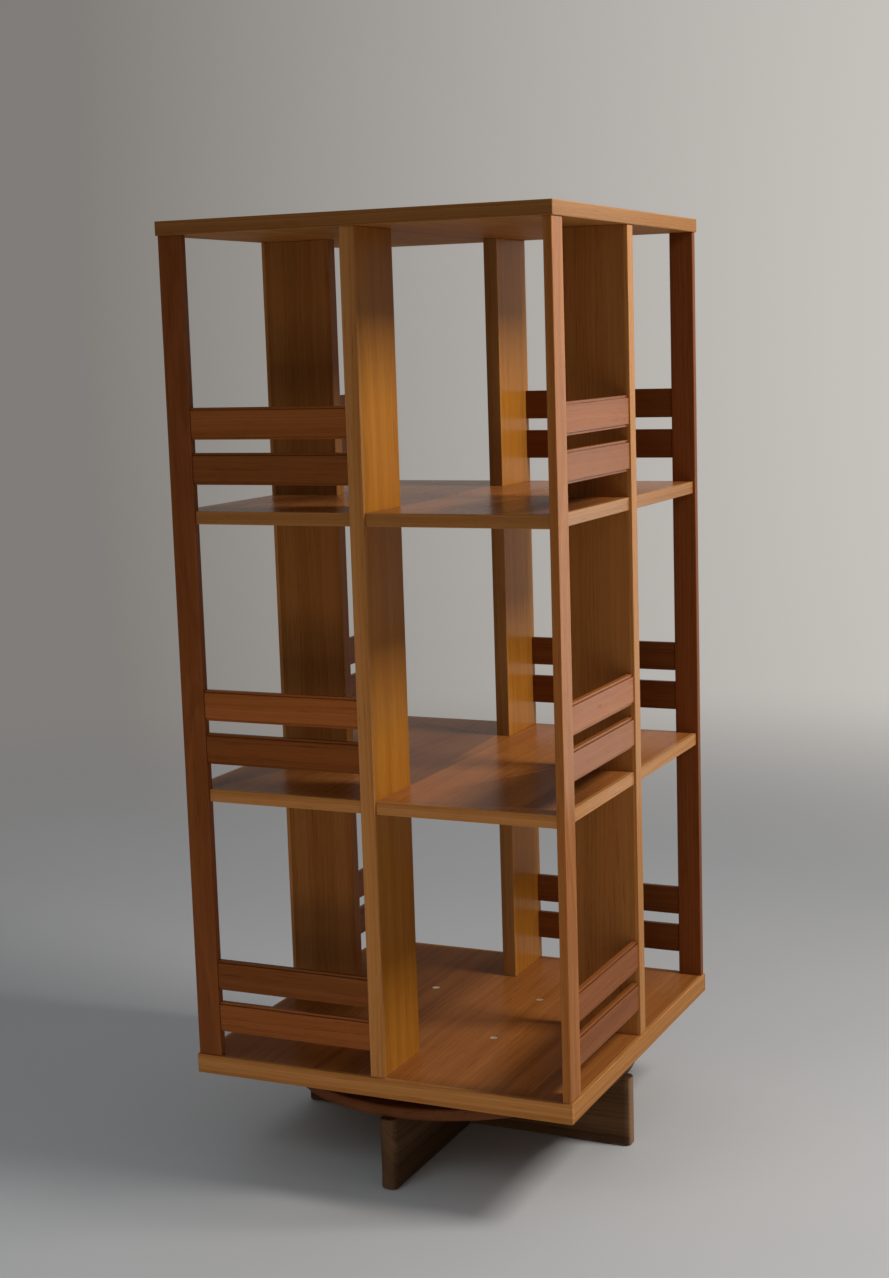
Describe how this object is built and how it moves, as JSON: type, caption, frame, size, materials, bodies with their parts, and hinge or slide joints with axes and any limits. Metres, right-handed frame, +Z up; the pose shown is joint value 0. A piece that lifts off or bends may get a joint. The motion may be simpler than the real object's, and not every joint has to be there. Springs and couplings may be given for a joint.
{
  "type": "rotating display rack",
  "caption": "Square open-sided wooden display rack with stacked book bays, turning on a ball-bearing swivel over a round base disc and crossed feet.",
  "frame": {"origin": "on the floor, under the turning axis, in the plane of the undersides of the floor glides", "axes": "+Z up along the turning axis; -Y is the front face, +X the right face; the rack stands with its faces square to its crossed feet"},
  "size_m": [0.48, 0.48, 1.116],
  "materials": {
    "teak_panel": "satin oiled teak veneer with solid teak edges",
    "teak_upright": "satin oiled teak",
    "teak_slat": "satin oiled teak",
    "disc_wood": "dark stained, satin",
    "foot_wood": "dark brown stained, satin",
    "screw_steel": "bright zinc plate, slightly worn",
    "plate_steel": "zinc plated pressed sheet",
    "bearing_steel": "ground steel with a film of grease",
    "glide_steel": "nickel plated, scuffed underneath"
  },
  "bodies": {
    "base": {"cross_foot_front_back": "foot_wood", "cross_foot_left_right": "foot_wood", "base_disc": "disc_wood", "floor_glide_front": "glide_steel", "floor_glide_right": "glide_steel", "floor_glide_back": "glide_steel", "floor_glide_left": "glide_steel", "disc_screw_1": "screw_steel", "disc_screw_2": "screw_steel", "disc_screw_3": "screw_steel", "disc_screw_4": "screw_steel", "plate_screw_1": "screw_steel", "plate_screw_2": "screw_steel", "plate_screw_3": "screw_steel", "plate_screw_4": "screw_steel", "swivel_lower_plate": "plate_steel", "swivel_pivot_rivet": "bearing_steel"},
    "rack": {"bottom_panel": "teak_panel", "lower_shelf": "teak_panel", "upper_shelf": "teak_panel", "top_panel": "teak_panel", "corner_board_front": "teak_upright", "divider_front": "teak_upright", "slat_front_bottom_lower": "teak_slat", "slat_front_bottom_upper": "teak_slat", "slat_front_middle_lower": "teak_slat", "slat_front_middle_upper": "teak_slat", "slat_front_top_lower": "teak_slat", "slat_front_top_upper": "teak_slat", "corner_board_right": "teak_upright", "divider_right": "teak_upright", "slat_right_bottom_lower": "teak_slat", "slat_right_bottom_upper": "teak_slat", "slat_right_middle_lower": "teak_slat", "slat_right_middle_upper": "teak_slat", "slat_right_top_lower": "teak_slat", "slat_right_top_upper": "teak_slat", "corner_board_back": "teak_upright", "divider_back": "teak_upright", "slat_back_bottom_lower": "teak_slat", "slat_back_bottom_upper": "teak_slat", "slat_back_middle_lower": "teak_slat", "slat_back_middle_upper": "teak_slat", "slat_back_top_lower": "teak_slat", "slat_back_top_upper": "teak_slat", "corner_board_left": "teak_upright", "divider_left": "teak_upright", "slat_left_bottom_lower": "teak_slat", "slat_left_bottom_upper": "teak_slat", "slat_left_middle_lower": "teak_slat", "slat_left_middle_upper": "teak_slat", "slat_left_top_lower": "teak_slat", "slat_left_top_upper": "teak_slat", "rack_screw_1": "screw_steel", "rack_screw_2": "screw_steel", "rack_screw_3": "screw_steel", "rack_screw_4": "screw_steel", "swivel_upper_plate": "plate_steel"},
    "ball_cage": {"swivel_ball_cage": "bearing_steel"}
  },
  "joints": [
    {"name": "rack_spin", "type": "hinge", "parent": "base", "child": "rack", "pos_m": [0, 0, 0.11], "axis": [0, 0, 1], "continuous": true},
    {"name": "cage_spin", "type": "hinge", "parent": "base", "child": "ball_cage", "pos_m": [0, 0, 0.11], "axis": [0, 0, 1], "continuous": true}
  ],
  "couplings": [
    {"joint": "cage_spin", "follows": "rack_spin", "ratio": 0.5}
  ]
}
